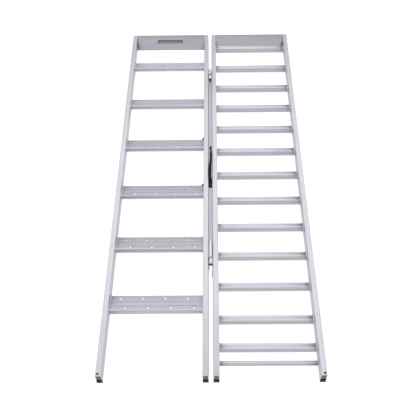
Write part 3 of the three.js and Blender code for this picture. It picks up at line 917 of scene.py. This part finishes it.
def threaded(head, radius, head_length, neck, length, pitch):
    """A headed shank with its head's top at Z = 0, plain down to `neck` and threaded below."""
    rings = lowered(head, head_length) + turned([(radius, -head_length), (radius, neck)])
    return Solid().loft(rings + thread_rings(radius, neck - THREAD_GAP, -length, pitch))


def washer(outer, inner, thickness, top):
    rings = turned([
        (inner, top),
        (outer * 0.97, top),
        (outer, top - thickness * 0.25),
        (outer, top - thickness * 0.75),
        (outer * 0.97, top - thickness),
        (inner, top - thickness),
    ])
    return Solid().loft(rings + [rings[0]], closed=False)


BOLT_RADIUS = 4 * MM
BOLT_HEAD_RADIUS = 6.9 * MM
BOLT_HEAD_LENGTH = 3.2 * MM
BOLT_SOCKET = 2.5 * MM
BOLT_PITCH = 1.25 * MM
WASHER_RADIUS = 8.2 * MM
WASHER_SHEET = 0.9 * MM
NUT_APOTHEM = 6.5 * MM
NUT_LENGTH = 6.5 * MM
BOLT_TIP = 2 * MM
SEAT_GAP = 0.3 * MM              # left between pieces that touch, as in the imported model
THREAD_GAP = 0.2 * MM            # from a nut's seat to the first thread
NUT_BORE = 0.95                  # a nut's bore over its bolt's radius, so that they read as one


def bolt_solid(length):
    """A bolt with its nut and washer, along Z, with its head's top at Z = 0."""
    tail = -length + BOLT_TIP + NUT_LENGTH
    head = button_head(BOLT_HEAD_RADIUS, BOLT_HEAD_LENGTH, BOLT_SOCKET)
    solid = threaded(head, BOLT_RADIUS, BOLT_HEAD_LENGTH, tail, length, BOLT_PITCH)
    solid.join(lock_nut(NUT_APOTHEM, NUT_LENGTH, BOLT_RADIUS * NUT_BORE, tail))
    return solid.join(washer(WASHER_RADIUS, BOLT_RADIUS * NUT_BORE, WASHER_SHEET, tail + SEAT_GAP))


RIVET_RADIUS = 3.2 * MM
RIVET_HEAD_RADIUS = 6 * MM
RIVET_HEAD_LENGTH = 1.6 * MM
RIVET_BULB_RADIUS = 4.4 * MM
RIVET_BULB_LENGTH = 5 * MM
MANDREL_RADIUS = 1.7 * MM


def rivet_solid(length):
    """A blind rivet along Z, its head's top at Z = 0 and its broken mandrel in the middle."""
    seat = -RIVET_HEAD_LENGTH
    blind = -length + RIVET_BULB_LENGTH
    well = MANDREL_RADIUS * 1.4
    profile = [
        (MANDREL_RADIUS * 0.8, -0.9 * MM),
        (MANDREL_RADIUS * 0.85, -0.7 * MM),
        (MANDREL_RADIUS, -1.0 * MM),
        (MANDREL_RADIUS * 1.15, -0.1 * MM),
    ]
    for step in range(6):
        t = step / 5
        turn = t * math.pi / 2
        reach = well + (RIVET_HEAD_RADIUS - well) * math.sin(turn)
        profile.append((reach, seat * (0.05 + 0.75 * (1 - math.cos(turn)))))
    profile += [(RIVET_HEAD_RADIUS * 0.97, seat), (RIVET_RADIUS, seat), (RIVET_RADIUS, blind)]
    for step in range(9):
        t = step / 8
        bulge = RIVET_BULB_RADIUS * (0.74 + 0.26 * math.sin(t * math.pi))
        profile.append((bulge * (1.0 if t < 1 else 0.8), blind - RIVET_BULB_LENGTH * t))
    return Solid().loft(turned(profile))


def rivet_side(node):
    """A hinge rivet's head faces the gap. A tab rivet's head faces the middle of its panel."""
    low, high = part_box(node)
    faced = 0.0
    if "tab" in node:
        plate_low, plate_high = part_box(PLATES[0] if "left" in node else PLATES[1])
        faced = (plate_low.x + plate_high.x) / 2
    return 1 if (low.x + high.x) / 2 < faced else -1


SCREW_RADIUS = 2.5 * MM
SCREW_HEAD_RADIUS = 5 * MM
SCREW_SOCKET = 1.6 * MM
HANDLE_SCREW_HEAD_LENGTH = 2.6 * MM
HANDLE_SCREW_PITCH = 0.8 * MM
HANDLE_NUT_APOTHEM = 4 * MM
HANDLE_NUT_LENGTH = 4 * MM
HANDLE_SCREW_TIP = 1.5 * MM
FOOT_SCREW_HEAD_LENGTH = 1.4 * MM
FOOT_SCREW_PITCH = 1.2 * MM
FOOT_SCREW_NECK = 3 * MM         # plain shank under the head


def handle_screw_solid(length):
    """A screw and its nut along Z, with the top of its head at Z = 0."""
    tail = -length + HANDLE_SCREW_TIP + HANDLE_NUT_LENGTH
    head = button_head(SCREW_HEAD_RADIUS, HANDLE_SCREW_HEAD_LENGTH, SCREW_SOCKET)
    solid = threaded(head, SCREW_RADIUS, HANDLE_SCREW_HEAD_LENGTH, tail, length, HANDLE_SCREW_PITCH)
    return solid.join(lock_nut(HANDLE_NUT_APOTHEM, HANDLE_NUT_LENGTH, SCREW_RADIUS * NUT_BORE, tail))


def foot_screw_solid(length):
    """A screw into the rubber behind a wall, along Z, with the top of its low head at Z = 0."""
    neck = -FOOT_SCREW_HEAD_LENGTH - FOOT_SCREW_NECK
    head = button_head(SCREW_HEAD_RADIUS, FOOT_SCREW_HEAD_LENGTH, SCREW_SOCKET)
    return threaded(head, SCREW_RADIUS, FOOT_SCREW_HEAD_LENGTH, neck, length, FOOT_SCREW_PITCH)


PIN_RADIUS = 4 * MM
PIN_HEAD_LENGTH = 3 * MM


# A pin's domed head: each ring's share of the head's radius and of its length.
PIN_HEAD = (
    (0.10, 0.18),
    (0.13, 0.10),
    (0.30, 0.06),
    (0.72, 0.04),
    (0.88, 0.12),
    (0.97, 0.28),
    (1.00, 0.50),
    (1.00, 1.00),
)


def pin_solid(length, head_radius):
    """A hinge pin along +Y with its domed head at Y = 0."""
    profile = [(head_radius * reach, PIN_HEAD_LENGTH * along) for reach, along in PIN_HEAD]
    profile.append((PIN_RADIUS, PIN_HEAD_LENGTH))
    profile.append((PIN_RADIUS, length - 0.6 * MM))
    profile.append((PIN_RADIUS * 0.85, length))
    return Solid().loft([[(x, z, y) for x, y, z in ring] for ring in turned(profile)])


def lay_along_x(solid_of, node, side):
    """A fastener as long as the node's box in X. Its head is at that box's +X or -X end."""
    low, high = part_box(node)
    centre = (low + high) / 2
    start = high.x if side > 0 else low.x
    turn = Matrix.Rotation(side * math.pi / 2, 4, "Y")
    twist = Matrix.Rotation(centre.y * 9.0, 4, "Z")
    place = Matrix.Translation((start, centre.y, centre.z))
    return solid_of(high.x - low.x).turn(place @ turn @ twist)


def hang_down(solid_of, node):
    """A fastener as tall as the node's box. Its head is at that box's top."""
    low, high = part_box(node)
    place = Matrix.Translation(((low.x + high.x) / 2, (low.y + high.y) / 2, high.z))
    return solid_of(high.z - low.z).turn(place)


def lay_pin(node):
    low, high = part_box(node)
    place = Matrix.Translation(((low.x + high.x) / 2, low.y, (low.z + high.z) / 2))
    return pin_solid(high.y - low.y, (high.x - low.x) / 2).turn(place)


def add_fasteners():
    made = [(node, lay_along_x(bolt_solid, node, 1)) for node in BOLTS]
    made += [(node, lay_along_x(rivet_solid, node, rivet_side(node))) for node in RIVETS]
    made += [(node, lay_pin(node)) for node in PINS]
    made += [(node, hang_down(handle_screw_solid, node)) for node in HANDLE_SCREWS]
    made += [(node, hang_down(foot_screw_solid, node)) for node in FOOT_SCREWS]
    for node, solid in made:
        surface = "black_steel"
        if node in RIVETS:
            surface = "zinc" if "tab" in node else "hinge"
        add_piece(f"{node}_detail", solid, surface, node)


# ------------------------------------------------------------------ feet

FOOT_RIB_PITCH = 5.5 * MM
FOOT_RIB_DEPTH = 0.6 * MM
FOOT_EDGE = 1.2 * MM             # rounding of the face's top and bottom
FOOT_CORNER = 2.2 * MM           # rounding of its sides
FOOT_STATION = 0.75 * MM         # spacing of the mesh's rings
FOOT_RISE = 22 * MM              # height of the rubber in front of the rail's end
FOOT_RECESS = 3 * MM             # the rail's end is open this deep above that rubber
FOOT_LAP = 1 * MM                # depth that a foot's shapes run into each other
SOLE_LENGTH = 30 * MM
SOLE_INSET = 3.5 * MM            # from the rail's sides
SOLE_STATION = 0.8 * MM
SOLE_RIB_PITCH = 5 * MM
SOLE_RIB_DEPTH = 0.5 * MM
SOLE_CHAMFER = 0.5 * MM
SOLE_END_RISE = 1.2 * MM         # the underside curves up at its ends
SOLE_END_LENGTH = 1.5 * MM
PLUG_INSET = 2.9 * MM            # the rail's wall and a seat gap
PLUG_CORNER = 1.5 * MM
PLUG_STEP = 1.4 * MM             # spacing of the mesh's points round the plug
ROOT_DROP = 3.5 * MM             # from the face's top to the top of the plug's root
HOLLOW_DEPTH = 12 * MM
HOLLOW_RADIUS = 4.4 * MM
HOLLOW_MOUTH = 4.8 * MM
HOLLOW_FLOOR = 2.4 * MM


def wave(distance, pitch, sharpness):
    """Ribs: 1 on their crests and 0 between them, with steeper sides where sharpness is higher."""
    return swell(sharpness * math.sin(2 * math.pi * distance / pitch))


def foot_face(low, high, back):
    """The rubber in front of the rail's end, ribbed across its face, as rings stacked up Z."""
    height = high.z - low.z
    middle_x = (low.x + high.x) / 2
    count = round(height / FOOT_STATION)
    rings = []
    for step in range(count + 1):
        rise = height * step / count
        edge = min(rise, height - rise)
        pull = FOOT_EDGE * (1 - rounding(edge / FOOT_EDGE))
        rib = FOOT_RIB_DEPTH * wave(rise, FOOT_RIB_PITCH, 1.6)
        if edge < 0.4 * FOOT_RIB_PITCH:
            rib = 0.0
        front = low.y + pull + rib
        width = high.x - low.x - 2 * pull
        outline = rounded_outline([
            (middle_x - width / 2, front),
            (middle_x + width / 2, front),
            (middle_x + width / 2, back),
            (middle_x - width / 2, back),
        ], FOOT_CORNER)
        rings.append([(x, y, low.z + rise) for x, y in outline])
    return Solid().loft(rings)


def foot_sole(low, high):
    """The pad under the rail, ribbed across its underside, as rings stacked along Y."""
    top = RAIL_LOW.z - SEAT_GAP
    left, right = low.x + SOLE_INSET, high.x - SOLE_INSET
    length = SOLE_LENGTH + FOOT_LAP
    count = round(length / SOLE_STATION)
    rings = []
    for step in range(count + 1):
        travelled = length * step / count
        end = min(travelled, length - travelled)
        bottom = low.z + SOLE_RIB_DEPTH * wave(travelled, SOLE_RIB_PITCH, 1.5)
        bottom += SOLE_END_RISE * (1 - swell(end / SOLE_END_LENGTH))
        y = LOW_END - FOOT_LAP + travelled
        rings.append([
            (left + SOLE_CHAMFER, y, bottom),
            (right - SOLE_CHAMFER, y, bottom),
            (right, y, bottom + SOLE_CHAMFER),
            (right, y, top),
            (left, y, top),
            (left, y, bottom + SOLE_CHAMFER),
        ])
    return Solid().loft(rings)


def plug_outline(width, height):
    corners = rounded_outline(rectangle(width, height), PLUG_CORNER)
    path = resample([(x, z, 0) for x, z in corners + corners[:1]], PLUG_STEP)
    return [(point.x, point.y) for point in path[:-1]]


def plug_block(outline, centre, start, end, before=()):
    """A block along Y with softened ends. `before` holds rings that come ahead of its first end."""
    rings = list(before)
    for y, share in ((start, 0.93), (start + 0.8 * MM, 1.0), (end - 1 * MM, 1.0), (end, 0.94)):
        rings.append([(centre.x + x * share, y, centre.z + z * share) for x, z in outline])
    return Solid().loft(rings)


def plug_hollow(outline, centre, front, hollow_z):
    """Rings of the plug's round hollow, from its floor out to its mouth."""
    rings = []
    shape = ((HOLLOW_DEPTH, HOLLOW_FLOOR), (HOLLOW_DEPTH, HOLLOW_RADIUS), (0.0, HOLLOW_MOUTH))
    for depth, radius in shape:
        spokes = [Vector((x, centre.z + z - hollow_z)).normalized() * radius for x, z in outline]
        rings.append([(centre.x + spoke.x, front + depth, hollow_z + spoke.y) for spoke in spokes])
    return rings


def foot_plug(low, high):
    """The block inside the rail, with a root that reaches forward to the face."""
    bottom, top = RAIL_LOW.z + PLUG_INSET, RAIL_TOP - PLUG_INSET
    root_top = FOOT_RISE - ROOT_DROP
    middle_x = (low.x + high.x) / 2
    width = high.x - low.x - 2 * PLUG_INSET
    front = LOW_END + FOOT_RECESS
    outline = plug_outline(width, top - bottom)
    centre = Vector((middle_x, 0, (top + bottom) / 2))
    hollow = plug_hollow(outline, centre, front, (FOOT_RISE + top) / 2)
    solid = plug_block(outline, centre, front, high.y, hollow)
    root_centre = Vector((middle_x, 0, (root_top + bottom) / 2))
    root_outline = plug_outline(width, root_top - bottom)
    return solid.join(plug_block(root_outline, root_centre, LOW_END - FOOT_LAP, front + FOOT_LAP))


def add_feet():
    for node in FEET:
        low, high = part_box(node)
        face_high = Vector((high.x, high.y, low.z + FOOT_RISE))
        solid = foot_face(low, face_high, LOW_END - SEAT_GAP)
        solid.join(foot_plug(low, high))
        solid.join(foot_sole(low, high))
        piece = add_piece(f"{node}_rubber", solid, "rubber", node)
        piece.data.materials.append(SURFACES["plug"])
        for face in piece.data.polygons:
            inside = face.center.y > LOW_END + FOOT_RECESS - 0.1 * MM
            face.material_index = 1 if inside and face.center.z > RAIL_LOW.z else 0


# ------------------------------------------------------------------ carrying handle

GRIP_RIB_PITCH = 5.5 * MM
GRIP_RIB_SHARE = 0.045           # depth of the ribs, as a share of the grip's width
GRIP_PLAIN_END = 12 * MM
GRIP_HALF_WIDTH = 6.8 * MM
GRIP_STATION = 0.9 * MM
GRIP_SIDES = 28
GRIP_SQUARENESS = 0.72           # 1 gives an ellipse, and lower is squarer
GRIP_CAP = 3.2 * MM              # length of its rounded ends
GRIP_TAPER_START = 70 * MM
GRIP_TAPER_LENGTH = 52 * MM
STRAP_STEP = 2.0 * MM
STRAP_THICKNESS = 2.4 * MM
STRAP_FLAT = 34 * MM             # length of each flat end
STRAP_SLOPE = 26 * MM
STRAP_WIDE = 9.3 * MM            # half widths, up the strap
STRAP_UNDER_GRIP = 4.1 * MM
STRAP_PAST_GRIP = 5.4 * MM
STRAP_AT_END = 3.2 * MM
STRAP_TWIST = math.radians(66)   # where it is pinched, just above the grip
TWIST_PLACE = 3 * MM
TWIST_LENGTH = 9 * MM
GRIP_LOW, GRIP_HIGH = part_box("handle_grip")
STRAP_LOW, STRAP_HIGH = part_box("handle_strap")


def handle_lean(y):
    """Sideways shift of the handle's middle: a little left along the grip, then right above it."""
    below = swell((y - GRIP_LOW.y + 8 * MM) / (14 * MM))
    above = swell((y - GRIP_LOW.y - 55 * MM) / (90 * MM))
    return -0.4 * MM - 2.5 * MM * below + 6.1 * MM * above


def signed_power(value, power):
    return math.copysign(abs(value) ** power, value)


def grip_ring(y, scale):
    """A squarish section of the grip, at its own height."""
    centre_z = (GRIP_LOW.z + GRIP_HIGH.z) / 2
    half_height = (GRIP_HIGH.z - GRIP_LOW.z) / 2
    ring = []
    for corner in range(GRIP_SIDES):
        angle = 2 * math.pi * corner / GRIP_SIDES
        x = signed_power(math.cos(angle), GRIP_SQUARENESS) * GRIP_HALF_WIDTH
        z = signed_power(math.sin(angle), GRIP_SQUARENESS) * half_height
        ring.append((handle_lean(y) + x * scale, y, centre_z + z * scale))
    return ring


def add_grip():
    length = GRIP_HIGH.y - GRIP_LOW.y
    count = round(length / GRIP_STATION)
    rings = []
    for step in range(count + 1):
        travelled = length * step / count
        end = min(travelled, length - travelled)
        rib = 0.0
        if end > GRIP_PLAIN_END:
            rib = GRIP_RIB_SHARE * wave(travelled, GRIP_RIB_PITCH, 1.5)
        taper = 1 - 0.2 * swell((travelled - GRIP_TAPER_START) / GRIP_TAPER_LENGTH)
        cap = 0.66 + 0.34 * rounding(end / GRIP_CAP)
        rings.append(grip_ring(GRIP_LOW.y + travelled, cap * (taper - rib)))
    add_piece("handle_grip_moulding", Solid().loft(rings), "grip", "handle_grip")


def strap_height(travelled, length, rise):
    """Height of the strap's underside: flat ends and a raised middle."""
    end = min(travelled, length - travelled)
    return rise * swell((end - STRAP_FLAT) / STRAP_SLOPE)


def strap_half_width(y):
    """Wide and folded double below the grip, pinched just above it, then narrowing to its end."""
    if y < GRIP_HIGH.y - 20 * MM:
        narrowing = swell((y - GRIP_LOW.y + 12 * MM) / (12 * MM))
        return STRAP_WIDE + (STRAP_UNDER_GRIP - STRAP_WIDE) * narrowing
    narrowing = swell((y - GRIP_HIGH.y - 40 * MM) / (50 * MM))
    return STRAP_PAST_GRIP + (STRAP_AT_END - STRAP_PAST_GRIP) * narrowing


def strap_ring(y, up, half_width, turn):
    """The strap's section at one place, turned about its middle."""
    section = rectangle(2 * half_width, STRAP_THICKNESS)
    ring = []
    for x, z in rounded_outline(section, STRAP_THICKNESS * 0.45, 3):
        across = x * math.cos(turn) - z * math.sin(turn)
        height = x * math.sin(turn) + z * math.cos(turn)
        ring.append((handle_lean(y) + across, y, up + height))
    return ring


def add_strap():
    length = STRAP_HIGH.y - STRAP_LOW.y
    rise = STRAP_HIGH.z - STRAP_LOW.z - STRAP_THICKNESS
    count = round(length / STRAP_STEP)
    rings = []
    for step in range(count + 1):
        travelled = length * step / count
        y = STRAP_LOW.y + travelled
        half_width = strap_half_width(y)
        past_twist = y - GRIP_HIGH.y - TWIST_PLACE
        turn = STRAP_TWIST * math.exp(-(past_twist / TWIST_LENGTH) ** 2)
        corner = min(travelled, length - travelled)
        if corner < half_width:
            half_width *= math.sqrt(max(0.02, 1 - (1 - corner / half_width) ** 2))
        up = STRAP_LOW.z + STRAP_THICKNESS / 2 + strap_height(travelled, length, rise)
        rings.append(strap_ring(y, up, half_width, turn))
    add_piece("handle_strap_webbing", Solid().loft(rings), "webbing", "handle_strap")


# ------------------------------------------------------------------ plain label on the left top plate

LABEL_LENGTH = 160 * MM
LABEL_HEIGHT = 34 * MM
LABEL_CORNER = 4 * MM
LABEL_FILM = 0.35 * MM
LABEL_LEFT = 8 * MM              # left of the plate's middle
LABEL_BACK = 68 * MM             # from the lip's edge to the label's middle
LABEL_GAP = 0.05 * MM            # between the plate and the film
BAND_HEIGHT = 3 * MM
BAND_GAP = 0.01 * MM
PLATE_SHEET = 4 * MM


def add_film(name, surface, centre, length, height, thickness):
    """A flat rounded film. `centre` is the middle of its underside."""
    outline = rounded_outline(rectangle(length, height), LABEL_CORNER, 6)
    rings = []
    for share, rise in ((1.0, 0.0), (1.0, thickness * 0.7), (0.998, thickness)):
        rings.append([(centre.x + x * share, centre.y + y * share, centre.z + rise) for x, y in outline])
    add_piece(name, Solid().loft(rings), surface, "left_top_plate", replacing=False)


def add_label():
    low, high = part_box("left_top_plate")
    x = (low.x + high.x) / 2 - LABEL_LEFT
    centre = Vector((x, high.y - LABEL_BACK, low.z + PLATE_SHEET + LABEL_GAP))
    add_film("plain_label", "film", centre, LABEL_LENGTH, LABEL_HEIGHT, LABEL_FILM)
    band = centre + Vector((0, -LABEL_HEIGHT * 0.2, LABEL_FILM + BAND_GAP))
    add_film("plain_label_band", "film_light", band, LABEL_LENGTH * 0.9, BAND_HEIGHT, LABEL_FILM * 0.5)


# ------------------------------------------------------------------ the scene

add_camera()
add_studio()
finish_cad_nodes()
add_treads()
add_welds()
add_fasteners()
add_feet()
add_grip()
add_strap()
add_label()
